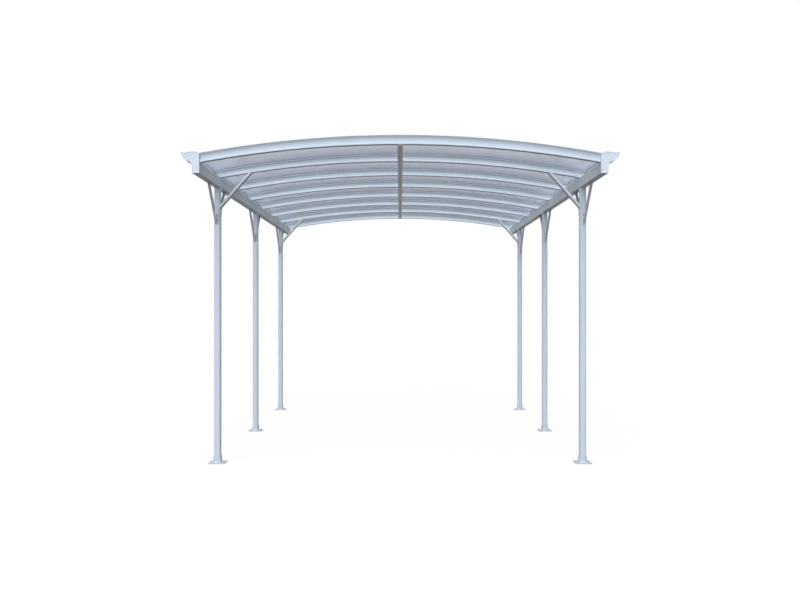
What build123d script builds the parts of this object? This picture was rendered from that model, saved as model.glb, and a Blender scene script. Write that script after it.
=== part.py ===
from build123d import *
import math
import os

# An arched single-car carport: six posts on bolted feet, two eave beams with gutters,
# arched ribs with glazing slots, curved roof panels, sheet braces and a ridge strap.
# X runs across, Y along the carport (front at -Y), Z up. The origin is on the ground,
# at the middle of the plan. All lengths are millimetres.

# Roof layout
BAY_COUNT = 7
RIB_PITCH = 710.0
ARCH_RISE = 124.0
EAVE_HEIGHT = 2102.0
POST_ROW_SPACING = 2788.0

# Posts: rounded square tube
POST_SIZE = 51.0
POST_CORNER_RADIUS = 12.0
POST_WALL = 2.0

# Feet: anchor plate with a tapered shoe around the post
FOOT_PLATE_SIZE = 130.0
FOOT_PLATE_THICKNESS = 5.0
FOOT_CORNER_RADIUS = 10.0
ANCHOR_SPACING = 96.0
ANCHOR_HOLE_RADIUS = 5.5
SHOE_HEIGHT = 57.0
SHOE_BASE_WALL = 7.0
SHOE_TOP_WALL = 2.5
SHOE_CLEARANCE = 0.3

# Eave beams: hollow box with a gutter on its outer side, one extrusion
BEAM_WIDTH = 51.0
BEAM_DEPTH = 74.0
BEAM_WALL = 2.2
GUTTER_REACH = 131.5
GUTTER_HEIGHT = 149.0
GUTTER_WALL = 2.2
COVE_START_HEIGHT = 36.0
COVE_END_REACH = 69.0
DRIP_EDGE_REACH = 75.0
GUTTER_FLOOR_HEIGHT = 80.0
GUTTER_BELLY_REACH = 112.0
GUTTER_BELLY_HEIGHT = 101.0
LIP_BASE_REACH = 126.0
LIP_BASE_HEIGHT = 131.0
TROUGH_WALL_GAP = 5.0
GROOVE_HEIGHT = 57.0
GROOVE_WIDTH = 4.0
GROOVE_DEPTH = 1.2

# End caps: moulded covers over the ends of the eave beams
CAP_THICKNESS = 5.0
CAP_RIM = 5.0
CAP_RECESS = 1.5
CAP_VALLEY_REACH = 104.0
CAP_VALLEY_HEIGHT = 138.0
CAP_HUMP_REACH = 39.0
CAP_HUMP_HEIGHT = 148.0
CAP_SHOULDER_REACH = 12.0
CAP_SHOULDER_HEIGHT = 140.0
CAP_INNER_HEIGHT = 120.0

# Ribs: hollow spool section with a glazing slot on each side that carries a panel
RIB_WIDTH = 46.0
RIB_FLANGE_EDGE = 4.0
RIB_COVE_DEPTH = 12.0
RIB_WALL = 2.0
PANEL_SEAT_HEIGHT = 53.0
STEM_WIDTH = 16.0
RIB_CAP_THICKNESS = 4.0
RIB_END_GAP = 2.0

# Roof panels: curved sheets whose edges sit in the glazing slots
PANEL_THICKNESS = 6.0
PANEL_BED_GAP = 0.3
PANEL_TOP_GAP = 0.7
PANEL_EDGE_GAP = 3.0
PANEL_REACH = 66.0

# Ridge strap: flat bar under the crowns of the ribs
STRAP_WIDTH = 38.0
STRAP_THICKNESS = 3.0

# Braces: folded sheet, with tabs screwed to the posts and beams
BRACE_WALL = 2.5
BRACE_TAB_WIDTH = 28.0
KNEE_DROP = 284.0
KNEE_REACH = 284.0
KNEE_WIDTH = 14.0
KNEE_DEPTH = 30.0
KNEE_FOOT_TAB = 95.0
KNEE_HEAD_TAB = 60.0
KNEE_FLANGE_START = 80.0
INNER_DROP = 148.0
INNER_REACH = 232.0
INNER_DEPTH = 18.0
INNER_BEND_RADIUS = 90.0
INNER_FOOT_TAB = 60.0
INNER_RIB_LAP = 10.0

# How far a cutting shape runs past what it cuts
OVERRUN = 20.0

# Places worked out from the sizes above
ROOF_LENGTH = BAY_COUNT * RIB_PITCH
POST_X = POST_ROW_SPACING / 2
BEAM_INNER_X = POST_X - BEAM_WIDTH / 2
SEAT_Z = EAVE_HEIGHT + BEAM_DEPTH
ARCH_RADIUS = (BEAM_INNER_X**2 + ARCH_RISE**2) / (2 * ARCH_RISE)
ARCH_CENTRE_Z = SEAT_Z + ARCH_RISE - ARCH_RADIUS
ARCH_AXIS = Axis((0, 0, ARCH_CENTRE_Z), (0, 1, 0))
PANEL_UNDERSIDE_HEIGHT = PANEL_SEAT_HEIGHT + PANEL_BED_GAP
SLOT_HEIGHT = PANEL_BED_GAP + PANEL_THICKNESS + PANEL_TOP_GAP
RIB_HEIGHT = PANEL_SEAT_HEIGHT + SLOT_HEIGHT + RIB_CAP_THICKNESS
BEAM_LENGTH = ROOF_LENGTH + RIB_WIDTH
END_POST_Y = ROOF_LENGTH / 2 - RIB_PITCH

SIDES = {"left": -1, "right": 1}
POST_PLACES = {"front": -END_POST_Y, "middle": 0, "rear": END_POST_Y}
END_PLACES = {"front": -1, "rear": 1}


def arch_height(x, above_rib=0):
    """Height of the arch at x, for the circle that lies above_rib over the rib's underside."""
    return ARCH_CENTRE_Z + math.sqrt((ARCH_RADIUS + above_rib) ** 2 - x**2)


def save(part, name):
    part.label = name
    export_step(part, os.path.join("parts", name + ".step"))


def post(side, y):
    """Rounded square tube from the foot plate up to the underside of the eave beam."""
    outer = RectangleRounded(POST_SIZE, POST_SIZE, POST_CORNER_RADIUS)
    bore = POST_SIZE - 2 * POST_WALL
    section = outer - RectangleRounded(bore, bore, POST_CORNER_RADIUS - POST_WALL)
    tube = extrude(section, EAVE_HEIGHT - FOOT_PLATE_THICKNESS)
    return Pos(side * POST_X, y, FOOT_PLATE_THICKNESS) * tube


def foot(side, y):
    """Square anchor plate with four bolt holes and a tapered shoe that the post stands in."""
    plate = RectangleRounded(FOOT_PLATE_SIZE, FOOT_PLATE_SIZE, FOOT_CORNER_RADIUS)
    plate -= GridLocations(ANCHOR_SPACING, ANCHOR_SPACING, 2, 2) * Circle(ANCHOR_HOLE_RADIUS)
    socket = POST_SIZE + 2 * SHOE_CLEARANCE
    socket_radius = POST_CORNER_RADIUS + SHOE_CLEARANCE
    base = socket + 2 * SHOE_BASE_WALL
    lean = math.degrees(math.atan((SHOE_BASE_WALL - SHOE_TOP_WALL) / SHOE_HEIGHT))
    shoe = extrude(RectangleRounded(base, base, socket_radius + SHOE_BASE_WALL), SHOE_HEIGHT, taper=lean)
    shoe -= extrude(RectangleRounded(socket, socket, socket_radius), SHOE_HEIGHT)
    body = extrude(plate, FOOT_PLATE_THICKNESS) + Pos(0, 0, FOOT_PLATE_THICKNESS) * shoe
    return Pos(side * POST_X, y, 0) * body


def gutter_outer_edges():
    """Outer face of the gutter from the box wall up to the lip base, in beam section coordinates."""
    cove = TangentArc(
        (BEAM_WIDTH, COVE_START_HEIGHT), (COVE_END_REACH, GUTTER_FLOOR_HEIGHT), tangent=(0, 1)
    )
    step = Line((COVE_END_REACH, GUTTER_FLOOR_HEIGHT), (DRIP_EDGE_REACH, GUTTER_FLOOR_HEIGHT))
    belly = ThreePointArc(
        (DRIP_EDGE_REACH, GUTTER_FLOOR_HEIGHT),
        (GUTTER_BELLY_REACH, GUTTER_BELLY_HEIGHT),
        (LIP_BASE_REACH, LIP_BASE_HEIGHT),
    )
    return [cove, step, belly]


def seat_height(reach):
    """Height of the rib's underside over the beam's underside, at reach outward of the inner face."""
    return arch_height(BEAM_INNER_X + reach) - EAVE_HEIGHT


def beam_section():
    """Hollow box whose sloping top seats the ribs, with the gutter trough on its outer wall."""
    box = make_face(
        Polyline(
            (0, 0),
            (BEAM_WIDTH, 0),
            (BEAM_WIDTH, seat_height(BEAM_WIDTH)),
            (0, seat_height(0)),
            close=True,
        )
    )
    box -= offset(box, -BEAM_WALL, kind=Kind.INTERSECTION)
    box -= Pos(0, GROOVE_HEIGHT) * Rectangle(2 * GROOVE_DEPTH, GROOVE_WIDTH)
    lip_lean = (GUTTER_REACH - LIP_BASE_REACH) / (GUTTER_HEIGHT - LIP_BASE_HEIGHT)
    over_top = GUTTER_HEIGHT + OVERRUN
    over_reach = GUTTER_REACH + OVERRUN * lip_lean
    inner_wall = BEAM_WIDTH - GUTTER_WALL
    rest = Polyline(
        (LIP_BASE_REACH, LIP_BASE_HEIGHT),
        (over_reach, over_top),
        (inner_wall, over_top),
        (inner_wall, COVE_START_HEIGHT),
        (BEAM_WIDTH, COVE_START_HEIGHT),
    )
    trough = make_face(gutter_outer_edges() + [rest])
    trough -= offset(trough, -GUTTER_WALL, kind=Kind.INTERSECTION)
    above_lip = Pos(BEAM_WIDTH, GUTTER_HEIGHT) * Rectangle(
        2 * GUTTER_REACH, 2 * OVERRUN, align=(Align.CENTER, Align.MIN)
    )
    wall_top = arch_height(POST_X + BEAM_WIDTH / 2, PANEL_UNDERSIDE_HEIGHT) - EAVE_HEIGHT - TROUGH_WALL_GAP
    above_wall = Pos(BEAM_WIDTH, wall_top) * Rectangle(
        2 * GUTTER_WALL, GUTTER_HEIGHT, align=(Align.CENTER, Align.MIN)
    )
    return box + (trough - above_lip - above_wall)


def along_beam(face, length):
    """Extrudes a beam section, drawn as reach and height, along Y on the right-hand side."""
    start = Plane((BEAM_INNER_X, length / 2, EAVE_HEIGHT), x_dir=(1, 0, 0), z_dir=(0, -1, 0))
    return extrude(start * face, length)


def on_side(part, side):
    return part if side > 0 else mirror(part, about=Plane.YZ)


def eave_beam(side):
    return on_side(along_beam(beam_section(), BEAM_LENGTH), side)


def cap_outline():
    """Outline of the beam's end, closed over the gutter and over the end of the arch."""
    tip = (GUTTER_REACH, GUTTER_HEIGHT)
    valley = (CAP_VALLEY_REACH, CAP_VALLEY_HEIGHT)
    hump = (CAP_HUMP_REACH, CAP_HUMP_HEIGHT)
    lip = Polyline((LIP_BASE_REACH, LIP_BASE_HEIGHT), tip, valley)
    rise = TangentArc(hump, valley, tangent=(1, 0))
    shoulder = ThreePointArc(
        hump, (CAP_SHOULDER_REACH, CAP_SHOULDER_HEIGHT), (0, CAP_INNER_HEIGHT)
    )
    foot_line = Polyline((0, CAP_INNER_HEIGHT), (0, 0), (BEAM_WIDTH, 0), (BEAM_WIDTH, COVE_START_HEIGHT))
    return make_face(gutter_outer_edges() + [lip, rise, shoulder, foot_line])


def end_cap(side, end):
    """Moulded cover with a raised rim, flush on the end of the beam and over the end arch."""
    outline = cap_outline()
    plate = along_beam(outline, CAP_THICKNESS)
    plate -= Pos(0, -(CAP_THICKNESS - CAP_RECESS), 0) * along_beam(
        offset(outline, -CAP_RIM, kind=Kind.INTERSECTION), CAP_THICKNESS
    )
    front = Pos(0, -(BEAM_LENGTH + CAP_THICKNESS) / 2, 0) * plate
    cap = on_side(front, side)
    return cap if end < 0 else mirror(cap, about=Plane.XZ)


def rib_flank(direction, slotted):
    """One flank of the rib section, from the underside up to the top of the rib's cap."""
    edge = direction * RIB_WIDTH / 2
    waist = direction * (RIB_WIDTH / 2 - RIB_COVE_DEPTH)
    stem = direction * STEM_WIDTH / 2
    seat = PANEL_SEAT_HEIGHT if slotted else RIB_HEIGHT
    cove_top = seat - RIB_FLANGE_EDGE
    foot_edge = Line((edge, 0), (edge, RIB_FLANGE_EDGE))
    cove = ThreePointArc(
        (edge, RIB_FLANGE_EDGE), (waist, (RIB_FLANGE_EDGE + cove_top) / 2), (edge, cove_top)
    )
    if not slotted:
        return [foot_edge, cove, Line((edge, cove_top), (edge, RIB_HEIGHT))]
    slot = Polyline(
        (edge, cove_top),
        (edge, seat),
        (stem, seat),
        (stem, seat + SLOT_HEIGHT),
        (edge, seat + SLOT_HEIGHT),
        (edge, RIB_HEIGHT),
    )
    return [foot_edge, cove, slot]


def rib_section(front_slot, rear_slot):
    half = RIB_WIDTH / 2
    edges = rib_flank(-1, front_slot) + rib_flank(1, rear_slot)
    edges += [Line((-half, 0), (half, 0)), Line((-half, RIB_HEIGHT), (half, RIB_HEIGHT))]
    outline = make_face(edges)
    spool = outline & Rectangle(RIB_WIDTH, PANEL_SEAT_HEIGHT, align=(Align.CENTER, Align.MIN))
    return outline - offset(spool, -RIB_WALL, kind=Kind.INTERSECTION)


def bend_over_arch(section, y, half_angle):
    """Revolves a section, drawn at the crown as along and height, to both sides of the crown."""
    crown = Plane((0, y, ARCH_CENTRE_Z + ARCH_RADIUS), x_dir=(0, 1, 0), z_dir=(1, 0, 0))
    start = (crown * section).rotate(ARCH_AXIS, -half_angle)
    return revolve(start, ARCH_AXIS, 2 * half_angle)


def rib(number):
    """Arched rib; the first and the last carry a panel on their inner side only."""
    end_x = BEAM_INNER_X + BEAM_WIDTH - GUTTER_WALL - RIB_END_GAP
    half_angle = math.degrees(math.asin(end_x / (ARCH_RADIUS + RIB_HEIGHT)))
    section = rib_section(front_slot=number > 0, rear_slot=number < BAY_COUNT)
    return bend_over_arch(section, rib_y(number), half_angle)


def rib_y(number):
    return number * RIB_PITCH - ROOF_LENGTH / 2


def roof_panel(number):
    """Curved sheet between two ribs, long enough to drip into both gutters."""
    width = RIB_PITCH - STEM_WIDTH - 2 * PANEL_EDGE_GAP
    top_radius = ARCH_RADIUS + PANEL_UNDERSIDE_HEIGHT + PANEL_THICKNESS
    half_angle = math.degrees(math.asin((BEAM_INNER_X + PANEL_REACH) / top_radius))
    sheet = Pos(0, PANEL_UNDERSIDE_HEIGHT) * Rectangle(
        width, PANEL_THICKNESS, align=(Align.CENTER, Align.MIN)
    )
    return bend_over_arch(sheet, rib_y(number) + RIB_PITCH / 2, half_angle)


def ridge_strap():
    """Flat bar that ties the crowns of all ribs together from below."""
    top = arch_height(STRAP_WIDTH / 2)
    return Pos(0, 0, top) * Box(
        STRAP_WIDTH, BEAM_LENGTH, STRAP_THICKNESS, align=(Align.CENTER, Align.CENTER, Align.MAX)
    )


def polygon(*points):
    return make_face(Polyline(*points, close=True))


def band(start, end, depth):
    """Straight band on the upper side of the line from start to end, run on past both."""
    way = (end - start).normalized()
    rise = Vector(-way.Y, way.X) * depth
    past = end - start
    return polygon(start - past, end + past, end + past + rise, start - past + rise)


def knee_brace(side, y, way):
    """Channel along the carport, from a post's face up to the underside of the eave beam.

    It lies on the outer part of its tabs, and its inner flange stops short of the foot tab's screws.
    """
    foot = Vector(0, -KNEE_DROP)
    head = Vector(KNEE_REACH, 0)
    corner = Rectangle(KNEE_REACH, KNEE_DROP, align=(Align.MIN, Align.MAX))
    base = band(foot, head, BRACE_WALL) & corner
    flange = band(foot, head, KNEE_DEPTH) & corner
    by_foot = Rectangle(KNEE_FLANGE_START, KNEE_DROP, align=(Align.MIN, Align.MAX))
    foot_tab = Pos(0, -KNEE_DROP) * Rectangle(BRACE_WALL, KNEE_FOOT_TAB, align=(Align.MIN, Align.MIN))
    head_tab = Pos(KNEE_REACH, 0) * Rectangle(KNEE_HEAD_TAB, BRACE_WALL, align=(Align.MAX, Align.MAX))
    face = Plane((0, POST_SIZE / 2, 0), x_dir=(0, 1, 0), z_dir=(1, 0, 0))
    outer = BRACE_TAB_WIDTH / 2
    inner_side = face.offset(outer - KNEE_WIDTH)
    body = extrude(inner_side * base, KNEE_WIDTH)
    body += extrude(inner_side * (flange - by_foot), BRACE_WALL)
    body += extrude(face.offset(outer - BRACE_WALL) * flange, BRACE_WALL)
    for tab in (foot_tab, head_tab):
        body += extrude(face.offset(-outer) * tab, BRACE_TAB_WIDTH)
    turned = body if way > 0 else mirror(body, about=Plane.XZ)
    return Pos(side * POST_X, y, EAVE_HEIGHT) * on_side(turned, side)


def corner_fall(half_width):
    """How far the post's rounded corner falls behind its face at half_width from the middle."""
    into_corner = max(0, half_width - POST_SIZE / 2 + POST_CORNER_RADIUS)
    return POST_CORNER_RADIUS - math.sqrt(max(0, POST_CORNER_RADIUS**2 - into_corner**2))


def inner_brace(side, y):
    """Wide channel across the carport, from a post's inner face up to a rib that it straddles.

    Its base bends down into a tab on the post, and its flanges lap the rib's lower edges.
    """
    face_x = POST_X - POST_SIZE / 2
    foot = Vector(0, -INNER_DROP)
    head = Vector(INNER_REACH, arch_height(face_x - INNER_REACH) - EAVE_HEIGHT)
    way = (head - foot).normalized()
    rise = Vector(-way.Y, way.X)
    far = head + way * INNER_REACH
    corner = foot + way * (BRACE_WALL / way.X)
    run = INNER_BEND_RADIUS * math.tan(math.acos(way.Y) / 2)
    bend_start = corner - Vector(0, run)
    bend_end = corner + way * run
    back_start = bend_start - Vector(BRACE_WALL, 0)
    back_end = bend_end + rise * BRACE_WALL
    underside = TangentArc(bend_start, bend_end, tangent=(0, 1))
    back = TangentArc(back_start, back_end, tangent=(0, 1))
    base = make_face(
        [
            Line(back_start, bend_start),
            underside,
            Polyline(bend_end, far, far + rise * BRACE_WALL, back_end),
            back,
        ]
    )
    tip = -corner_fall(RIB_WIDTH / 2)
    top = foot + rise * INNER_DEPTH
    top_tip = top + way * ((tip - top.X) / way.X)
    flange = make_face(
        [
            underside,
            Polyline(
                bend_end, far, far + rise * INNER_DEPTH, top_tip, (tip, bend_start.Y), bend_start
            ),
        ]
    )
    tab_height = bend_start.Y + INNER_DROP + INNER_FOOT_TAB
    tab = Pos(back_start) * Rectangle(BRACE_WALL, tab_height, align=(Align.MIN, Align.MAX))
    rib_centre = Pos(face_x, ARCH_CENTRE_Z - EAVE_HEIGHT)
    base &= rib_centre * Circle(ARCH_RADIUS)
    flange &= rib_centre * Circle(ARCH_RADIUS + INNER_RIB_LAP)
    width = RIB_WIDTH + 2 * BRACE_WALL
    face = Plane((face_x, y, EAVE_HEIGHT), x_dir=(-1, 0, 0), z_dir=(0, 1, 0))
    front_side = face.offset(-width / 2)
    body = extrude(front_side * base, width)
    body += extrude(face.offset(-BRACE_TAB_WIDTH / 2) * tab, BRACE_TAB_WIDTH)
    for edge in (front_side, face.offset(RIB_WIDTH / 2)):
        body += extrude(edge * flange, BRACE_WALL)
    return on_side(body, side)


def build_supports():
    for side_name, side in SIDES.items():
        for place, y in POST_PLACES.items():
            save(post(side, y), f"post_{side_name}_{place}")
            save(foot(side, y), f"foot_{side_name}_{place}")
            pair = Compound(children=[knee_brace(side, y, -1), knee_brace(side, y, 1)])
            save(pair, f"knee_braces_{side_name}_{place}")
            if y:
                save(inner_brace(side, y), f"inner_brace_{side_name}_{place}")


def build_eaves():
    for side_name, side in SIDES.items():
        save(eave_beam(side), f"gutter_beam_{side_name}")
        for place, end in END_PLACES.items():
            save(end_cap(side, end), f"end_cap_{side_name}_{place}")


def build_roof():
    for number in range(BAY_COUNT + 1):
        names = {0: "front_arch", BAY_COUNT: "rear_arch"}
        save(rib(number), names.get(number, f"rib_{number + 1}"))
    for number in range(BAY_COUNT):
        save(roof_panel(number), f"roof_panel_{number + 1}")
    save(ridge_strap(), "ridge_strap")


os.makedirs("parts", exist_ok=True)
build_supports()
build_eaves()
build_roof()
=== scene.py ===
import math

import bmesh
import bpy
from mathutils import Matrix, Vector
from mathutils.geometry import tessellate_polygon


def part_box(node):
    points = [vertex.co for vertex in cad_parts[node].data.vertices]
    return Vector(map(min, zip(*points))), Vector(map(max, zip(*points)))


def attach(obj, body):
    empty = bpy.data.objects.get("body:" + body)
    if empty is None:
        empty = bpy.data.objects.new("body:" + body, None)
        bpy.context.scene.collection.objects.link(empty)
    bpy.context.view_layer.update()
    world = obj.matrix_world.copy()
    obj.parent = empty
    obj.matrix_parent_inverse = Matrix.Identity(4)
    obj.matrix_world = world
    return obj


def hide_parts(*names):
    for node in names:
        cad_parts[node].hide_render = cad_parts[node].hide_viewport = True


# The finished look of an arched single-car carport. Lengths are metres, in the frame of the CAD
# model: X across, Y along with the front at -Y, Z up from the ground.

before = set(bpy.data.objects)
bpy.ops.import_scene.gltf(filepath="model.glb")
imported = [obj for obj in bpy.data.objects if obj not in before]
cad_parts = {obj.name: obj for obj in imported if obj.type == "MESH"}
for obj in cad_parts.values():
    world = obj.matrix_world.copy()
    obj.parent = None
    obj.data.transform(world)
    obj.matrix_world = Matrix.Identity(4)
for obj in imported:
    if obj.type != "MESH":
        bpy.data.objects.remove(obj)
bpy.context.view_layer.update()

SIDES = {"left": -1, "right": 1}
PLACES = ("front", "middle", "rear")
ENDS = {"front": -1, "rear": 1}
RIBS = ("front_arch", "rib_2", "rib_3", "rib_4", "rib_5", "rib_6", "rib_7", "rear_arch")
PANELS = tuple(f"roof_panel_{number}" for number in range(1, len(RIBS)))

# Eave beams and gutters: reach from the beam's inner face, height over its underside
BEAM_WIDTH = 0.051
BEAM_DEPTH = 0.074
GUTTER_REACH = 0.1315
GUTTER_HEIGHT = 0.149
GUTTER_WALL = 0.0022
COVE_START_HEIGHT = 0.036
COVE_END_REACH = 0.069
DRIP_EDGE_REACH = 0.075
GUTTER_FLOOR_HEIGHT = 0.080
GUTTER_BELLY = (0.112, 0.101)
LIP_BASE = (0.126, 0.131)
TROUGH_WALL_GAP = 0.005
GROOVE_HEIGHT = 0.057
GROOVE_WIDTH = 0.004
GROOVE_DEPTH = 0.0012

# End caps
CAP_RIM = 0.005
CAP_RECESS = 0.0015
CAP_VALLEY = (0.104, 0.138)
CAP_HUMP = (0.039, 0.148)
CAP_SHOULDER = (0.012, 0.140)
CAP_INNER_HEIGHT = 0.120
CAP_EDGE = 0.0012

# Ribs and panels
RIB_WIDTH = 0.046
RIB_FLANGE_EDGE = 0.004
RIB_COVE_DEPTH = 0.012
PANEL_SEAT_HEIGHT = 0.053
SLOT_HEIGHT = 0.007
RIB_HEIGHT = 0.064
STEM_WIDTH = 0.016
PANEL_BED_GAP = 0.0003
PANEL_THICKNESS = 0.006
TAPE_DEPTH = 0.026
TAPE_THICKNESS = 0.0003

# Posts and feet
POST_CORNER_RADIUS = 0.016
PLATE_THICKNESS = 0.005
PLATE_CORNER_RADIUS = 0.010
PLATE_EDGE = 0.0008
ANCHOR_SPACING = 0.096
ANCHOR_HOLE_RADIUS = 0.0055
SHOE_BASE_WALL = 0.007
SHOE_TOP_WALL = 0.0025
SHOE_CLEARANCE = 0.0003
SHOE_FILLET = 0.004

# Braces: the inner ones are drawn as reach from the post's inner face and height over the eave
BRACE_WALL = 0.0025
BRACE_EDGE = 0.0006
BRACE_TAB_WIDTH = 0.028
INNER_DROP = 0.158
INNER_REACH = 0.2395
INNER_FLANGE = 0.019
INNER_BEND = 0.0055
INNER_RIB_LAP = 0.010
INNER_RIB_GAP = 0.0002
INNER_POST_LAP = 0.009
INNER_FOOT_HALF = 0.0282

# Bolts and screws: radius and height levels of each body, over the face that it stands on
WASHER = ((0.0094, 0), (0.0100, 0.0003), (0.0100, 0.0017), (0.0094, 0.0020))
ANCHOR_HEAD = ((0.0076, 0.0018), (0.0080, 0.0022), (0.0080, 0.0047), (0.0072, 0.0054))
SCREW_FLANGE = ((0.0054, 0), (0.0056, 0.0004), (0.0050, 0.0012))
SCREW_HEAD = ((0.0041, 0.0010), (0.0041, 0.0038), (0.0034, 0.0045))
FLAT_HEAD = ((0.0050, 0), (0.0052, 0.0003), (0.0046, 0.0009))
KNEE_SCREW_HEIGHTS = (0.036, 0.073)
KNEE_SCREW_OFFSET = 0.0045
KNEE_HEAD_SCREWS = (0.022, 0.046)
KNEE_HEAD_SCREW_OFFSET = 0.007
INNER_TAB_SCREW_HEIGHT = 0.014
STRAP_SCREW_OFFSET = 0.011

# How finely round stretches are divided, and how edges are told apart and eased
ARC_STEPS = 14
CORNER_STEPS = 3
TUBE_CORNER_STEPS = 8
ARCH_STATIONS = 49
HOLE_SIDES = 24
HEX_SIDES = 6
EDGE_RADIUS = 0.0008
CORNER_ANGLE = math.radians(25)
SHARP_ANGLE = math.radians(38)
BEVEL_ANGLE = math.radians(30)
FLAT_ANGLE = math.radians(1)
WELD_DISTANCE = 0.00001

# Places worked out from the frame
beam_low, beam_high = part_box("gutter_beam_right")
BEAM_INNER_X = beam_low.x
EAVE_Z = beam_low.z
ARCH_CROWN_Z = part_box("front_arch")[1].z - RIB_HEIGHT
ARCH_RISE = ARCH_CROWN_Z - EAVE_Z - BEAM_DEPTH
ARCH_RADIUS = (BEAM_INNER_X**2 + ARCH_RISE**2) / (2 * ARCH_RISE)
ARCH_CENTRE_Z = ARCH_CROWN_Z - ARCH_RADIUS


class Arc:
    """Part of a circle, from its first angle through its sweep."""

    def __init__(self, centre, start, end, anticlockwise):
        self.centre = Vector(centre)
        first = Vector(start) - self.centre
        last = Vector(end) - self.centre
        self.radius = first.length
        self.first = math.atan2(first.y, first.x)
        self.sweep = (math.atan2(last.y, last.x) - self.first) % math.tau
        if not anticlockwise:
            self.sweep -= math.tau

    def points(self, steps=ARC_STEPS, grow=0):
        """Points along the arc, with its radius grown by a wall's thickness."""
        radius = self.radius + grow
        turns = (self.first + self.sweep * step / steps for step in range(steps + 1))
        return [tuple(self.centre + Vector((math.cos(a), math.sin(a))) * radius) for a in turns]


def arc_leaving(start, way, end):
    """Arc that leaves start in the direction way and ends at end."""
    left = Vector((-way[1], way[0]))
    chord = Vector(end) - Vector(start)
    radius = chord.length_squared / (2 * chord.dot(left))
    return Arc(Vector(start) + left * radius, start, end, radius > 0)


def arc_over(start, middle, end):
    """Arc from start over a middle point to end."""
    to_middle = Vector(middle) - Vector(start)
    to_end = Vector(end) - Vector(start)
    area = to_middle.cross(to_end)
    across = to_middle.length_squared * to_end - to_end.length_squared * to_middle
    centre = Vector(start) + Vector((across.y, -across.x)) / (2 * area)
    return Arc(centre, start, end, area > 0)


def eased(outline, radius=EDGE_RADIUS, steps=CORNER_STEPS):
    """Closed outline with each of its sharp corners rounded."""
    made = []
    for before, corner, after in zip(outline[-1:] + outline[:-1], outline, outline[1:] + outline[:1]):
        corner = Vector(corner)
        back = Vector(before) - corner
        on = Vector(after) - corner
        opening = back.angle(on)
        if math.pi - opening < CORNER_ANGLE:
            made.append(tuple(corner))
            continue
        run = min(radius / math.tan(opening / 2), back.length / 2, on.length / 2)
        start = corner + back.normalized() * run
        end = corner + on.normalized() * run
        made += arc_leaving(start, -back.normalized(), end).points(steps)
    return made


def rounded_square(size, radius):
    half = size / 2
    corners = [(-half, -half), (half, -half), (half, half), (-half, half)]
    return eased(corners, radius, TUBE_CORNER_STEPS)


def circle(radius, sides, middle=(0, 0)):
    turns = (math.tau * k / sides for k in range(sides))
    return [(middle[0] + radius * math.cos(a), middle[1] + radius * math.sin(a)) for a in turns]


def inset(outline, depth):
    """Anticlockwise outline moved inward by depth, point for point."""
    made = []
    for before, corner, after in zip(outline[-1:] + outline[:-1], outline, outline[1:] + outline[:1]):
        into = (Vector(corner) - Vector(before)).normalized()
        out = (Vector(after) - Vector(corner)).normalized()
        inward = Vector((-into.y - out.y, into.x + out.x)) / (1 + into.dot(out))
        made.append(tuple(Vector(corner) + inward * depth))
    return made


def ring(mesh, points):
    return [mesh.verts.new(point) for point in points]


def bridge(mesh, before, after):
    for k in range(len(before)):
        mesh.faces.new((before[k - 1], before[k], after[k], after[k - 1]))


def cover(mesh, *rings):
    """Fills the first ring, around any others."""
    corners = [vert for one in rings for vert in one]
    for triangle in tessellate_polygon([[vert.co for vert in one] for one in rings]):
        mesh.faces.new([corners[index] for index in triangle])


def loft(mesh, rings):
    for before, after in zip(rings, rings[1:]):
        bridge(mesh, before, after)


def swept(outline, stations, place, mesh=None):
    """Closed mesh of an outline that is carried through stations by the function place."""
    mesh = mesh or bmesh.new()
    rings = [ring(mesh, [place(u, v, station) for u, v in outline]) for station in stations]
    loft(mesh, rings)
    cover(mesh, rings[0])
    cover(mesh, rings[-1])
    return mesh


def piece(name, mesh, material, replaced=None):
    """Makes an object of a mesh, with smooth rounds and crisp corners, and ties it to the frame."""
    bmesh.ops.recalc_face_normals(mesh, faces=mesh.faces)
    for face in mesh.faces:
        face.smooth = True
    for edge in mesh.edges:
        edge.smooth = edge.calc_face_angle(0) < SHARP_ANGLE
    data = bpy.data.meshes.new(name)
    mesh.to_mesh(data)
    mesh.free()
    data.materials.append(material)
    made = bpy.data.objects.new(name, data)
    bpy.context.scene.collection.objects.link(made)
    made.modifiers.new("even_normals", "WEIGHTED_NORMAL").keep_sharp = True
    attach(made, "root")
    if replaced:
        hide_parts(replaced)
    return made


def on_arch(y):
    """Place for sections drawn as along and height over the ribs' underside, by angle from the crown."""

    def place(along, height, angle):
        radius = ARCH_RADIUS + height
        return (radius * math.sin(angle), y + along, ARCH_CENTRE_Z + radius * math.cos(angle))

    return place


def arch_angles(half_angle):
    last = ARCH_STATIONS - 1
    return [half_angle * (2 * station / last - 1) for station in range(ARCH_STATIONS)]


def seat_height(reach, over_rib=0):
    """Height over the beam's underside of the arch that lies over_rib above the ribs' underside."""
    x = BEAM_INNER_X + reach
    return ARCH_CENTRE_Z + math.sqrt((ARCH_RADIUS + over_rib) ** 2 - x**2) - EAVE_Z


# Materials


def shader(name):
    """New material with its node tree and its surface node."""
    material = bpy.data.materials.new(name)
    material.use_nodes = True
    tree = material.node_tree
    return material, tree, tree.nodes["Principled BSDF"]


def node(tree, kind, inputs=None, **settings):
    """Adds a shader node and sets or links its inputs."""
    made = tree.nodes.new("ShaderNode" + kind)
    for key, value in settings.items():
        setattr(made, key, value)
    for key, value in (inputs or {}).items():
        if isinstance(value, bpy.types.NodeSocket):
            tree.links.new(value, made.inputs[key])
        else:
            made.inputs[key].default_value = value
    return made


def object_place(tree, scale=(1, 1, 1)):
    """Position on the object in metres, stretched by scale."""
    place = node(tree, "TexCoord").outputs["Object"]
    return node(tree, "Mapping", {"Vector": place, "Scale": scale}).outputs["Vector"]


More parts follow.
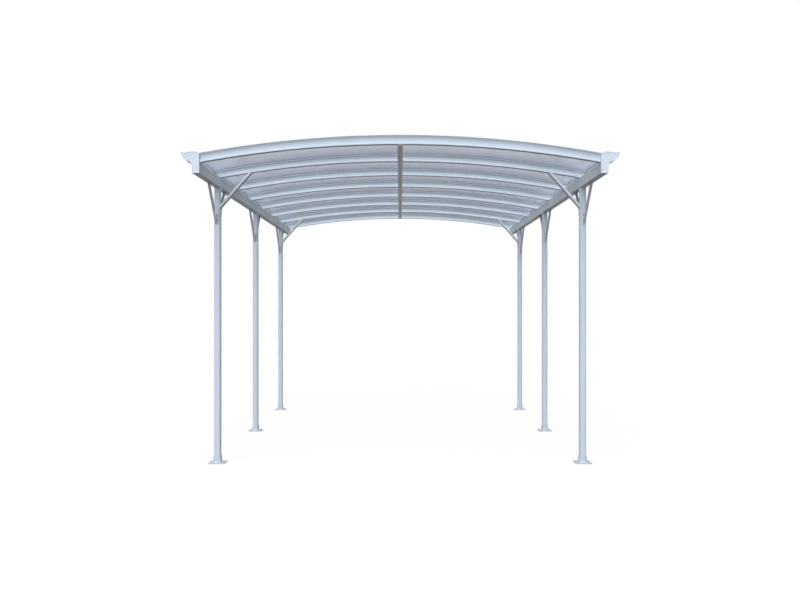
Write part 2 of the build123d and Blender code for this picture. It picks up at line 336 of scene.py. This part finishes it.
def noise(tree, place, scale, detail):
    inputs = {"Vector": place, "Scale": scale, "Detail": detail}
    return node(tree, "TexNoise", inputs).outputs["Fac"]


def toned(tree, factor, colour, shares):
    """Colour that goes between two shares of itself as factor goes over the middle of its range."""
    made = node(tree, "ValToRGB", {"Fac": factor})
    ramp = made.color_ramp.elements
    ramp[0].position, ramp[1].position = RAMP_SPAN
    for element, share in zip(ramp, shares):
        element.color = (*(channel * share for channel in colour), 1)
    return made.outputs["Color"]


def span(tree, factor, limits):
    """Value that goes between two limits as factor goes over the middle of its range."""
    inputs = {"Value": factor, "From Min": RAMP_SPAN[0], "From Max": RAMP_SPAN[1]}
    inputs |= {"To Min": limits[0], "To Max": limits[1]}
    return node(tree, "MapRange", inputs).outputs["Result"]


def add_bump(tree, surface, height, distance):
    inputs = {"Height": height, "Distance": distance, "Strength": 1.0}
    normal = node(tree, "Bump", inputs).outputs["Normal"]
    tree.links.new(normal, surface.inputs["Normal"])


RAMP_SPAN = (0.3, 0.7)
POST_COLOUR = (0.63, 0.72, 0.825)
# Painted light: the beams' coat is a lighter copy of the same powder coat, making up for light that
# their shaded faces miss
BEAM_COLOUR_PAINTED_LIGHTER = (0.79, 0.86, 0.94)
# Painted shade: the ribs' coat is a darker copy of the same powder coat, standing in for shade on the
# arches
RIB_COLOUR_PAINTED_DARKER = (0.565, 0.645, 0.74)
FOOT_COLOUR = (0.56, 0.64, 0.735)
# Painted light: the inner braces' coat is a lighter copy of the same powder coat, making up for the
# roof's shade on them
BRACE_COLOUR_PAINTED_LIGHTER = (0.66, 0.73, 0.82)
# Painted shade: the knee braces' coat is a darker, greyer copy of the same powder coat, standing in for
# shade on their struts
KNEE_COLOUR_PAINTED_DARKER = (0.65, 0.69, 0.75)
CAP_COLOUR = (0.655, 0.735, 0.85)
STRAP_COLOUR = (0.39, 0.415, 0.425)
ZINC_COLOUR = (0.62, 0.63, 0.64)
SCREW_COLOUR = (0.23, 0.24, 0.26)
FOIL_COLOUR = (0.78, 0.79, 0.80)
PANEL_COLOUR = (0.462, 0.488, 0.57)
# Painted light: the lighter, bluer colour that the sheets take towards their ends, over this span of
# distance across
PANEL_PAINTED_LIGHT_COLOUR = (0.565, 0.635, 0.76)
PANEL_PAINTED_LIGHT_SPAN = (1.20, 1.36)
LAMP_TINT = (0.92, 0.91, 0.91)

# Textures: noise as scale and detail, tones as shares of the colour, and bumps in metres
COAT_CLOUD = (2.5, 3)
COAT_PEEL = (420, 1)
COAT_LINES = (1, 2)
COAT_TONE_SHARES = (0.96, 1.02)
COAT_ROUGHNESS = (0.46, 0.56)
COAT_BUMP = 0.00006
COAT_GLOSS = 0.07
STRAP_GLOSS = 0.5
PLASTIC_CLOUD = (9, 2)
PLASTIC_GRAIN = (900, 2)
PLASTIC_TONE_SHARES = (0.97, 1.02)
PLASTIC_ROUGHNESS = (0.48, 0.6)
PLASTIC_BUMP = 0.00008
METAL_DETAIL = 3
METAL_TONE_SHARES = (0.88, 1)
METAL_ROUGHNESS_SHARES = (0.8, 1.2)
METAL_BUMP = 0.00003
SHEET_STREAKS = (1, 3)
SHEET_STREAK_STRETCH = (0.8, 26, 0.8)
SHEET_TONE_SHARES = (0.96, 1.02)
SHEET_ROUGHNESS = (0.16, 0.20)
SHEET_IOR = 1.13

# Webs inside the sheet, about 20 mm apart
WEB_SCALE = 50 / math.pi
WEB_TONE_SHARE = 0.35
WEB_BUMP = 0.00012


def powder_coat(name, colour, stretch, gloss=COAT_GLOSS):
    """Satin powder coat: orange peel, slow cloudiness, and faint marks drawn out by stretch."""
    material, tree, surface = shader(name)
    cloud = noise(tree, object_place(tree), *COAT_CLOUD)
    peel = noise(tree, object_place(tree), *COAT_PEEL)
    lines = noise(tree, object_place(tree, stretch), *COAT_LINES)
    tree.links.new(toned(tree, cloud, colour, COAT_TONE_SHARES), surface.inputs["Base Color"])
    tree.links.new(span(tree, lines, COAT_ROUGHNESS), surface.inputs["Roughness"])
    height = node(tree, "Math", {0: peel, 1: lines}, operation="ADD").outputs["Value"]
    add_bump(tree, surface, height, COAT_BUMP)
    surface.inputs["Specular IOR Level"].default_value = gloss
    return material


def moulded_plastic(name, colour):
    """Matte moulded plastic with a fine spark-eroded texture."""
    material, tree, surface = shader(name)
    cloud = noise(tree, object_place(tree), *PLASTIC_CLOUD)
    texture = noise(tree, object_place(tree), *PLASTIC_GRAIN)
    tree.links.new(toned(tree, cloud, colour, PLASTIC_TONE_SHARES), surface.inputs["Base Color"])
    tree.links.new(span(tree, texture, PLASTIC_ROUGHNESS), surface.inputs["Roughness"])
    add_bump(tree, surface, texture, PLASTIC_BUMP)
    return material


def bare_metal(name, colour, roughness, grain):
    """Bare or plated metal with a fine grain."""
    material, tree, surface = shader(name)
    marks = noise(tree, object_place(tree), grain, METAL_DETAIL)
    limits = [roughness * share for share in METAL_ROUGHNESS_SHARES]
    tree.links.new(toned(tree, marks, colour, METAL_TONE_SHARES), surface.inputs["Base Color"])
    tree.links.new(span(tree, marks, limits), surface.inputs["Roughness"])
    add_bump(tree, surface, marks, METAL_BUMP)
    surface.inputs["Metallic"].default_value = 1.0
    return material


def fluted_sheet(name, colour, painted_light_colour):
    """Tinted twin-wall sheet: translucent, with webs along the arch, and painted light that makes it
    lighter and bluer towards its ends.
    """
    material, tree, surface = shader(name)
    place = object_place(tree)
    webs = node(
        tree,
        "TexWave",
        {"Vector": place, "Scale": WEB_SCALE, "Distortion": 0.0},
        bands_direction="Y",
    ).outputs["Fac"]
    streaks = noise(tree, object_place(tree, SHEET_STREAK_STRETCH), *SHEET_STREAKS)
    tone = node(tree, "Math", {0: webs, 1: WEB_TONE_SHARE}, operation="MULTIPLY").outputs["Value"]
    tone = node(tree, "Math", {0: streaks, 1: tone}, operation="ADD").outputs["Value"]
    colour = toned(tree, tone, colour, SHEET_TONE_SHARES)
    # Painted light: towards its ends by the gutters the sheet's colour turns lighter and bluer
    across = node(tree, "SeparateXYZ", {"Vector": place}).outputs["X"]
    reach = node(tree, "Math", {0: across}, operation="ABSOLUTE").outputs["Value"]
    limits = {"From Min": PANEL_PAINTED_LIGHT_SPAN[0], "From Max": PANEL_PAINTED_LIGHT_SPAN[1]}
    painted_light_share = node(tree, "MapRange", {"Value": reach, **limits}).outputs["Result"]
    painted_light_mix = node(tree, "MixRGB", {"Fac": painted_light_share, "Color1": colour, "Color2": (*painted_light_colour, 1)})
    tree.links.new(painted_light_mix.outputs["Color"], surface.inputs["Base Color"])
    tree.links.new(span(tree, streaks, SHEET_ROUGHNESS), surface.inputs["Roughness"])
    add_bump(tree, surface, webs, WEB_BUMP)
    surface.inputs["Transmission Weight"].default_value = 1.0
    surface.inputs["IOR"].default_value = SHEET_IOR
    lamp_ray = node(tree, "LightPath").outputs["Is Shadow Ray"]
    filter_colour = node(tree, "BsdfTransparent", {"Color": (*LAMP_TINT, 1)}).outputs["BSDF"]
    both = node(tree, "MixShader", {0: lamp_ray, 1: surface.outputs["BSDF"], 2: filter_colour})
    tree.links.new(both.outputs["Shader"], tree.nodes["Material Output"].inputs["Surface"])
    return material


# Marks in a coat run along an extruded profile, and lie evenly on folded sheet and castings
ALONG_X = (3, 500, 500)
ALONG_Y = (500, 3, 500)
ALONG_Z = (500, 500, 3)
EVEN_ON_SHEET = (60, 60, 60)
EVEN_ON_CASTING = (90, 90, 90)

# Metals: roughness and scale of the grain
ZINC_FINISH = (0.36, 260)
SCREW_FINISH = (0.4, 300)
FOIL_FINISH = (0.34, 90)

post_coat = powder_coat("post_coat", POST_COLOUR, ALONG_Z)
# Painted light: a lighter copy of the powder coat for the beams
beam_coat_painted_lighter = powder_coat("beam_coat_painted_lighter", BEAM_COLOUR_PAINTED_LIGHTER, ALONG_Y)
# Painted shade: a darker copy of the powder coat for the ribs
rib_coat_painted_darker = powder_coat("rib_coat_painted_darker", RIB_COLOUR_PAINTED_DARKER, ALONG_X)
# Painted light: a lighter copy of the powder coat for the inner braces
brace_coat_painted_lighter = powder_coat("brace_coat_painted_lighter", BRACE_COLOUR_PAINTED_LIGHTER, EVEN_ON_SHEET)
# Painted shade: a darker copy of the powder coat for the knee braces
knee_coat_painted_darker = powder_coat("knee_coat_painted_darker", KNEE_COLOUR_PAINTED_DARKER, EVEN_ON_SHEET)
foot_coat = powder_coat("foot_coat", FOOT_COLOUR, EVEN_ON_CASTING)
cap_plastic = moulded_plastic("cap_plastic", CAP_COLOUR)
strap_coat = powder_coat("strap_coat", STRAP_COLOUR, ALONG_Y, STRAP_GLOSS)
zinc = bare_metal("zinc", ZINC_COLOUR, *ZINC_FINISH)
screw_metal = bare_metal("screw_metal", SCREW_COLOUR, *SCREW_FINISH)
foil = bare_metal("foil", FOIL_COLOUR, *FOIL_FINISH)
panel_sheet = fluted_sheet("panel_sheet", PANEL_COLOUR, PANEL_PAINTED_LIGHT_COLOUR)


# Posts and feet


def post_names():
    return [f"{side}_{place}" for side in SIDES for place in PLACES]


def post_shape(name):
    low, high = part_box(f"post_{name}")
    middle = (low + high) / 2
    outline = rounded_square(high.x - low.x, POST_CORNER_RADIUS)
    return swept(outline, (low.z, high.z), lambda u, v, z: (middle.x + u, middle.y + v, z))


def foot_shape(name):
    """Anchor plate with bolt holes, and the tapered shoe that rises from it in a fillet."""
    low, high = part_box(f"foot_{name}")
    post_low, post_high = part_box(f"post_{name}")
    middle = (low + high) / 2
    plate = high.x - low.x
    socket = post_high.x - post_low.x + 2 * SHOE_CLEARANCE
    socket_radius = POST_CORNER_RADIUS + SHOE_CLEARANCE
    mesh = bmesh.new()

    def square(size, radius, z):
        return ring(mesh, [(middle.x + u, middle.y + v, z) for u, v in rounded_square(size, radius)])

    def plate_ring(shrink, z):
        return square(plate - 2 * shrink, PLATE_CORNER_RADIUS - shrink, z)

    def shoe_ring(wall, z):
        return square(socket + 2 * wall, socket_radius + wall, z)

    def hole(x, y, z):
        return ring(mesh, [(u, v, z) for u, v in circle(ANCHOR_HOLE_RADIUS, HOLE_SIDES, (x, y))])

    edge = [
        plate_ring(PLATE_EDGE, 0),
        plate_ring(0, PLATE_EDGE),
        plate_ring(0, PLATE_THICKNESS - PLATE_EDGE),
        plate_ring(PLATE_EDGE, PLATE_THICKNESS),
    ]
    rise = [
        shoe_ring(SHOE_BASE_WALL + u, PLATE_THICKNESS + v)
        for u, v in arc_leaving((SHOE_FILLET, 0), (-1, 0), (0, SHOE_FILLET)).points(CORNER_STEPS)
    ]
    rise += [
        shoe_ring(SHOE_TOP_WALL, high.z - EDGE_RADIUS),
        shoe_ring(SHOE_TOP_WALL - EDGE_RADIUS, high.z),
        shoe_ring(0, high.z),
        shoe_ring(0, PLATE_THICKNESS),
    ]
    half = ANCHOR_SPACING / 2
    spots = [(middle.x + u, middle.y + v) for u in (-half, half) for v in (-half, half)]
    bottoms = [hole(x, y, 0) for x, y in spots]
    tops = [hole(x, y, PLATE_THICKNESS) for x, y in spots]
    loft(mesh, edge)
    loft(mesh, rise)
    for bottom, top in zip(bottoms, tops):
        bridge(mesh, bottom, top)
    cover(mesh, edge[0], *bottoms)
    cover(mesh, edge[-1], rise[0], *tops)
    cover(mesh, rise[-1])
    return mesh


for post_name in post_names():
    piece(f"post_{post_name}_tube", post_shape(post_name), post_coat, f"post_{post_name}")
    piece(f"foot_{post_name}_casting", foot_shape(post_name), foot_coat, f"foot_{post_name}")


# Eave beams with gutters, and their end caps


def gutter_arcs():
    cove = arc_leaving((BEAM_WIDTH, COVE_START_HEIGHT), (0, 1), (COVE_END_REACH, GUTTER_FLOOR_HEIGHT))
    belly = arc_over((DRIP_EDGE_REACH, GUTTER_FLOOR_HEIGHT), GUTTER_BELLY, LIP_BASE)
    return cove, belly


def beam_outline():
    """Box with a sloping top and a groove on its inner face, and the gutter trough beside it."""
    cove, belly = gutter_arcs()
    floor = GUTTER_FLOOR_HEIGHT + GUTTER_WALL
    lip = Vector((GUTTER_REACH, GUTTER_HEIGHT)) - Vector(LIP_BASE)
    lip_width = GUTTER_WALL * lip.length / lip.y
    inner_belly = [point for point in belly.points(grow=-GUTTER_WALL) if point[1] > floor]
    inner_cove = [point for point in cove.points(grow=GUTTER_WALL) if point[0] > BEAM_WIDTH]
    wall_top = seat_height(BEAM_WIDTH, PANEL_SEAT_HEIGHT + PANEL_BED_GAP) - TROUGH_WALL_GAP
    wall_inner = BEAM_WIDTH - GUTTER_WALL
    return [
        (0, 0),
        (BEAM_WIDTH, 0),
        *cove.points(),
        *belly.points(),
        (GUTTER_REACH, GUTTER_HEIGHT),
        (GUTTER_REACH - lip_width, GUTTER_HEIGHT),
        *reversed(inner_belly),
        *reversed(inner_cove),
        (BEAM_WIDTH, wall_top),
        (wall_inner, wall_top),
        (wall_inner, seat_height(wall_inner)),
        (0, seat_height(0)),
        (0, GROOVE_HEIGHT + GROOVE_WIDTH / 2),
        (GROOVE_DEPTH, GROOVE_HEIGHT + GROOVE_WIDTH / 2),
        (GROOVE_DEPTH, GROOVE_HEIGHT - GROOVE_WIDTH / 2),
        (0, GROOVE_HEIGHT - GROOVE_WIDTH / 2),
    ]


def cap_outline():
    """Outline of the beam's end, closed over the gutter and over the end of the arch."""
    cove, belly = gutter_arcs()
    return [
        (0, 0),
        (BEAM_WIDTH, 0),
        *cove.points(),
        *belly.points(),
        (GUTTER_REACH, GUTTER_HEIGHT),
        *reversed(arc_leaving(CAP_HUMP, (1, 0), CAP_VALLEY).points()),
        *arc_over(CAP_HUMP, CAP_SHOULDER, (0, CAP_INNER_HEIGHT)).points()[1:],
    ]


def on_beam(side):
    """Place for sections drawn as reach outward and height over the beam's underside."""
    return lambda reach, height, y: (side * (BEAM_INNER_X + reach), y, EAVE_Z + height)


def cap_shape(side, end, name):
    """Moulded cover with a rounded edge, a raised rim and a recessed face."""
    low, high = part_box(name)
    inner, outer = sorted((low.y, high.y), key=abs)
    outline = cap_outline()
    place = on_beam(side)
    mesh = bmesh.new()

    def level(depth, fall):
        return ring(mesh, [place(u, v, outer - end * fall) for u, v in inset(outline, depth)])

    thickness = abs(outer - inner)
    rings = [level(0, thickness)]
    for u, v in arc_leaving((0, CAP_EDGE), (0, -1), (CAP_EDGE, 0)).points(CORNER_STEPS):
        rings.append(level(u, v))
    rings.append(level(CAP_RIM - CAP_RECESS / 2, 0))
    rings.append(level(CAP_RIM + CAP_RECESS / 2, CAP_RECESS))
    loft(mesh, rings)
    cover(mesh, rings[0])
    cover(mesh, rings[-1])
    return mesh


for side_name, side in SIDES.items():
    beam_name = f"gutter_beam_{side_name}"
    beam_mesh = swept(eased(beam_outline()), (beam_low.y, beam_high.y), on_beam(side))
    piece(f"{beam_name}_profile", beam_mesh, beam_coat_painted_lighter, beam_name)
    for end_name, end in ENDS.items():
        cap_name = f"end_cap_{side_name}_{end_name}"
        piece(f"{cap_name}_cover", cap_shape(side, end, cap_name), cap_plastic, cap_name)


# Ribs, panels and the ridge strap


def rib_flank(slotted):
    """Half of a rib's outline, from the underside up to the top, on its positive side."""
    edge = RIB_WIDTH / 2
    cove_top = (PANEL_SEAT_HEIGHT if slotted else RIB_HEIGHT) - RIB_FLANGE_EDGE
    waist = (edge - RIB_COVE_DEPTH, (RIB_FLANGE_EDGE + cove_top) / 2)
    points = [(edge, 0), *arc_over((edge, RIB_FLANGE_EDGE), waist, (edge, cove_top)).points()]
    if slotted:
        slot_top = PANEL_SEAT_HEIGHT + SLOT_HEIGHT
        points += [(edge, PANEL_SEAT_HEIGHT), (STEM_WIDTH / 2, PANEL_SEAT_HEIGHT)]
        points += [(STEM_WIDTH / 2, slot_top), (edge, slot_top)]
    return points + [(edge, RIB_HEIGHT)]


def rib_shape(name):
    """Arched rib, with a glazing slot on each side that carries a panel."""
    low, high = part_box(name)
    rear = rib_flank(name != RIBS[-1])
    front = rib_flank(name != RIBS[0])
    outline = eased(rear + [(-u, v) for u, v in reversed(front)])
    half_angle = math.asin(high.x / (ARCH_RADIUS + RIB_HEIGHT))
    return swept(outline, arch_angles(half_angle), on_arch((low.y + high.y) / 2))


def panel_angle(name):
    top = PANEL_SEAT_HEIGHT + PANEL_BED_GAP + PANEL_THICKNESS
    return math.asin(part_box(name)[1].x / (ARCH_RADIUS + top))


def panel_shape(name):
    low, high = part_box(name)
    half = (high.y - low.y) / 2
    under = PANEL_SEAT_HEIGHT + PANEL_BED_GAP
    top = under + PANEL_THICKNESS
    outline = eased([(-half, under), (half, under), (half, top), (-half, top)])
    return swept(outline, arch_angles(panel_angle(name)), on_arch((low.y + high.y) / 2))


def tape_shape(name, side):
    """Foil tape folded over a panel's end, which closes its channels."""
    low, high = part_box(name)
    under = PANEL_SEAT_HEIGHT + PANEL_BED_GAP
    top = under + PANEL_THICKNESS
    thin = TAPE_THICKNESS
    outline = [
        (TAPE_DEPTH, under - thin),
        (-thin, under - thin),
        (-thin, top + thin),
        (TAPE_DEPTH, top + thin),
        (TAPE_DEPTH, top),
        (0, top),
        (0, under),
        (TAPE_DEPTH, under),
    ]
    end_angle = panel_angle(name)
    place = on_arch(0)

    def fold(back, height, y):
        x, _, z = place(0, height, side * (end_angle - back / ARCH_RADIUS))
        return (x, y, z)

    slot_room = (RIB_WIDTH - STEM_WIDTH) / 2
    return swept(outline, (low.y + slot_room, high.y - slot_room), fold)


def strap_shape():
    low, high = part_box("ridge_strap")
    outline = eased([(low.x, low.z), (high.x, low.z), (high.x, high.z), (low.x, high.z)])
    return swept(outline, (low.y, high.y), lambda u, v, y: (u, y, v))


for rib_name in RIBS:
    piece(f"{rib_name}_profile", rib_shape(rib_name), rib_coat_painted_darker, rib_name)
for panel_name in PANELS:
    sheet = piece(f"{panel_name}_sheet", panel_shape(panel_name), panel_sheet, panel_name)
    sheet.visible_diffuse = False
    for side_name, side in SIDES.items():
        piece(f"{panel_name}_tape_{side_name}", tape_shape(panel_name, side), foil)
piece("ridge_strap_bar", strap_shape(), strap_coat, "ridge_strap")


# Braces


def round_edges(brace):
    rounded = brace.modifiers.new("rounded", "BEVEL")
    rounded.width = BRACE_EDGE
    rounded.segments = CORNER_STEPS
    rounded.limit_method = "ANGLE"
    rounded.angle_limit = BEVEL_ANGLE


def finish_knees(name):
    """The CAD solids, with their sheet edges rounded."""
    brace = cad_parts[name]
    brace.data.materials.clear()
    # Painted shade: the knee braces take the darker copy of the powder coat
    brace.data.materials.append(knee_coat_painted_darker)
    brace.modifiers.new("weld", "WELD").merge_threshold = WELD_DISTANCE
    planar = brace.modifiers.new("planar", "DECIMATE")
    planar.decimate_type = "DISSOLVE"
    planar.angle_limit = FLAT_ANGLE
    round_edges(brace)
    brace.modifiers.new("even_normals", "WEIGHTED_NORMAL").keep_sharp = True


def inner_brace_shape(name, side):
    """Straight channel from a post to a rib, with a tab on the post and flanges that lap the rib."""
    low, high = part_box(f"inner_brace_{name}")
    post_low, post_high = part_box(f"post_{name}")
    face_x = min(abs(post_low.x), abs(post_high.x))
    middle = (low.y + high.y) / 2
    half = (high.y - low.y) / 2
    foot = Vector((0, -INNER_DROP))
    head = Vector((INNER_REACH, seat_height(face_x - INNER_REACH - BEAM_INNER_X)))
    way = (head - foot).normalized()
    rise = Vector((-way.y, way.x))
    arch_centre = Vector((face_x, ARCH_CENTRE_Z - EAVE_Z))
    mesh = bmesh.new()

    def flare(r):
        """Share by which the brace is wider than at the rib, so that its flanges clasp the post."""
        return 1 + (INNER_FOOT_HALF / half - 1) * min(1, 1 - r / INNER_REACH)

    def at_post(depth, lap):
        point = foot + rise * depth
        return point - way * ((point.x + lap) / way.x)

    def at_arch(depth, radius):
        point = foot + rise * depth
        to_centre = arch_centre - point
        along = to_centre.dot(way)
        return point + way * (along + math.sqrt(along**2 + radius**2 - to_centre.length_squared))

    def post_end(depth):
        return at_post(depth, 0)

    def rib_end(depth):
        return at_arch(depth, ARCH_RADIUS - INNER_RIB_GAP)

    def spot(r, h, y):
        return (side * (face_x - r), middle + y * flare(r), EAVE_Z + h)

    def plate(outline, stations):
        swept([tuple(point) for point in outline], stations, spot, mesh)

    inside = half - BRACE_WALL
    bend = half - INNER_BEND
    trough = [
        *arc_leaving((-half, INNER_BEND), (0, -1), (-bend, 0)).points(TUBE_CORNER_STEPS),
        *arc_leaving((bend, 0), (1, 0), (half, INNER_BEND)).points(TUBE_CORNER_STEPS),
        *arc_leaving((inside, INNER_BEND), (0, -1), (bend, BRACE_WALL)).points(TUBE_CORNER_STEPS),
        *arc_leaving((-bend, BRACE_WALL), (-1, 0), (-inside, INNER_BEND)).points(TUBE_CORNER_STEPS),
    ]
    swept(trough, (post_end, rib_end), lambda y, depth, run_end: spot(*run_end(depth), y), mesh)
    levels = (INNER_BEND - BRACE_EDGE, INNER_FLANGE)
    flange = [at_post(depth, INNER_POST_LAP) for depth in levels]
    flange += [at_arch(depth, ARCH_RADIUS + INNER_RIB_LAP) for depth in reversed(levels)]
    for ends in ((-half, -inside), (inside, half)):
        plate(flange, ends)
    tab_low = low.z - EAVE_Z
    tab = [(0, tab_low), (BRACE_WALL, tab_low), (BRACE_WALL, -INNER_DROP), (0, -INNER_DROP)]
    plate(tab, (-BRACE_TAB_WIDTH / 2, BRACE_TAB_WIDTH / 2))
    return mesh


for side_name, side in SIDES.items():
    for place_name in PLACES:
        post_name = f"{side_name}_{place_name}"
        finish_knees(f"knee_braces_{post_name}")
        if place_name != "middle":
            name = f"inner_brace_{post_name}"
            channel = inner_brace_shape(post_name, side)
            brace = piece(f"{name}_channel", channel, brace_coat_painted_lighter, name)
            round_edges(brace)
            # The rounding goes ahead of the even normals that the piece already has
            brace.modifiers.move(1, 0)


# Bolts and screws


def seat(spot, outward):
    """Place for bodies that stand on a face at spot, by position on the face and height over it."""
    turn = Vector(outward).to_track_quat("Z", "Y")
    return lambda u, v, height: Vector(spot) + turn @ Vector((u, v, height))


def stack(mesh, place, sides, levels):
    """Closed round or six-sided body through its levels of radius and height."""
    rings = []
    for radius, height in levels:
        rings.append(ring(mesh, [place(u, v, height) for u, v in circle(radius, sides)]))
    loft(mesh, rings)
    cover(mesh, rings[0])
    cover(mesh, rings[-1])


def anchor_bolts(name):
    low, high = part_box(f"foot_{name}")
    middle = (low + high) / 2
    half = ANCHOR_SPACING / 2
    mesh = bmesh.new()
    for u in (-half, half):
        for v in (-half, half):
            place = seat((middle.x + u, middle.y + v, PLATE_THICKNESS), (0, 0, 1))
            stack(mesh, place, HOLE_SIDES, WASHER)
            stack(mesh, place, HEX_SIDES, ANCHOR_HEAD)
    return mesh


def screws(spots, outward):
    """Hexagon screws with flanged heads, on a face that looks outward."""
    mesh = bmesh.new()
    for spot in spots:
        place = seat(spot, outward)
        stack(mesh, place, HOLE_SIDES, SCREW_FLANGE)
        stack(mesh, place, HEX_SIDES, SCREW_HEAD)
    return mesh


def knee_screws(name, side, way):
    """Screws of one knee brace: two in its foot tab, and two up into the eave beam."""
    low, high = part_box(f"knee_braces_{name}")
    post_low, post_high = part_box(f"post_{name}")
    x = (post_low.x + post_high.x) / 2
    face = (post_high.y if way > 0 else post_low.y) + way * BRACE_WALL
    tip = high.y if way > 0 else low.y
    foot = [(x + side * KNEE_SCREW_OFFSET, face, low.z + height) for height in KNEE_SCREW_HEIGHTS]
    head_x = x - side * KNEE_HEAD_SCREW_OFFSET
    head = [(head_x, tip - way * back, high.z - BRACE_WALL) for back in KNEE_HEAD_SCREWS]
    return screws(foot, (0, way, 0)), screws(head, (0, 0, -1))


def inner_screws(name, side):
    """The flat-headed screw in the foot tab of one inner brace."""
    low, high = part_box(f"inner_brace_{name}")
    post_low, post_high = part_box(f"post_{name}")
    face = min(abs(post_low.x), abs(post_high.x)) - BRACE_WALL
    spot = (side * face, (low.y + high.y) / 2, low.z + INNER_TAB_SCREW_HEIGHT)
    mesh = bmesh.new()
    stack(mesh, seat(spot, (-side, 0, 0)), HOLE_SIDES, FLAT_HEAD)
    return mesh


for side_name, side in SIDES.items():
    for place_name in PLACES:
        post_name = f"{side_name}_{place_name}"
        piece(f"foot_{post_name}_anchors", anchor_bolts(post_name), zinc)
        meshes = [*knee_screws(post_name, side, -1), *knee_screws(post_name, side, 1)]
        if place_name != "middle":
            meshes.append(inner_screws(post_name, side))
        for number, screw_mesh in enumerate(meshes, 1):
            piece(f"brace_{post_name}_screws_{number}", screw_mesh, screw_metal)
strap_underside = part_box("ridge_strap")[0].z
for rib_name in RIBS:
    low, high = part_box(rib_name)
    rib_y = (low.y + high.y) / 2
    spots = [(x, rib_y, strap_underside) for x in (-STRAP_SCREW_OFFSET, STRAP_SCREW_OFFSET)]
    piece(f"{rib_name}_strap_screws", screws(spots, (0, 0, -1)), zinc)


# Stage: floor, light and camera

FLOOR_SIZE = 120
FLOOR_CELLS = 2
FLOOR_COLOUR = (0.11, 0.11, 0.11, 1)
FLOOR_GLOW = 0.90
SKY_LIGHT = 0.46
SKY_SEEN = 1.0
WHITE = (1, 1, 1, 1)
KEY_HEIGHT = math.radians(52)
KEY_STRENGTH = 1.6
FILL_HEIGHT = math.radians(3)
FILL_STRENGTH = 1.85
LAMP_TURN = math.radians(12)
LAMP_SPREAD = math.radians(50)
CAMERA_PLACE = (0, -8.54, 1.18)
CAMERA_LENS = 39.825
CAMERA_SHIFT = (-0.0002, 0.0104)


def seen_directly(tree):
    """One for rays from the camera or by way of gloss or clear sheet, and zero for scattered light."""
    path = node(tree, "LightPath").outputs
    seen = path["Is Camera Ray"]
    for other in ("Is Glossy Ray", "Is Transmission Ray"):
        seen = node(tree, "Math", {0: seen, 1: path[other]}, operation="MAXIMUM").outputs["Value"]
    return seen


def make_floor():
    mesh = bmesh.new()
    cells = {"x_segments": FLOOR_CELLS, "y_segments": FLOOR_CELLS}
    bmesh.ops.create_grid(mesh, size=FLOOR_SIZE / 2, **cells)
    data = bpy.data.meshes.new("floor")
    mesh.to_mesh(data)
    mesh.free()
    floor = bpy.data.objects.new("floor", data)
    bpy.context.scene.collection.objects.link(floor)
    material = bpy.data.materials.new("pale_floor")
    material.use_nodes = True
    tree = material.node_tree
    tree.nodes.remove(tree.nodes["Principled BSDF"])
    matte = node(tree, "BsdfDiffuse", {"Color": FLOOR_COLOUR}).outputs["BSDF"]
    glow = node(tree, "Math", {0: seen_directly(tree), 1: FLOOR_GLOW}, operation="MULTIPLY")
    light = node(tree, "Emission", {"Color": WHITE, "Strength": glow.outputs["Value"]})
    both = node(tree, "AddShader", {0: matte, 1: light.outputs["Emission"]})
    tree.links.new(both.outputs["Shader"], tree.nodes["Material Output"].inputs["Surface"])
    data.materials.append(material)


def make_sky():
    world = bpy.data.worlds.new("studio")
    world.use_nodes = True
    tree = world.node_tree
    limits = {"To Min": SKY_LIGHT, "To Max": SKY_SEEN}
    strength = node(tree, "MapRange", {"Value": seen_directly(tree), **limits})
    background = tree.nodes["Background"]
    background.inputs["Color"].default_value = WHITE
    tree.links.new(strength.outputs["Result"], background.inputs["Strength"])
    bpy.context.scene.world = world


def make_lamp(name, height, strength):
    """Soft distant lamp at the front, a little to the left, at an angle of height over the floor."""
    light = bpy.data.lights.new(name, "SUN")
    light.energy = strength
    light.angle = LAMP_SPREAD
    lamp = bpy.data.objects.new(name, light)
    lamp.rotation_euler = (math.pi / 2 - height, 0, -LAMP_TURN)
    bpy.context.scene.collection.objects.link(lamp)


def make_camera():
    data = bpy.data.cameras.new("camera")
    data.lens = CAMERA_LENS
    data.shift_x, data.shift_y = CAMERA_SHIFT
    camera = bpy.data.objects.new("camera", data)
    camera.location = CAMERA_PLACE
    camera.rotation_euler = (math.pi / 2, 0, 0)
    bpy.context.scene.collection.objects.link(camera)
    bpy.context.scene.camera = camera


make_floor()
make_sky()
make_lamp("key", KEY_HEIGHT, KEY_STRENGTH)
make_lamp("fill", FILL_HEIGHT, FILL_STRENGTH)
make_camera()
bpy.context.scene.view_settings.view_transform = "Standard"
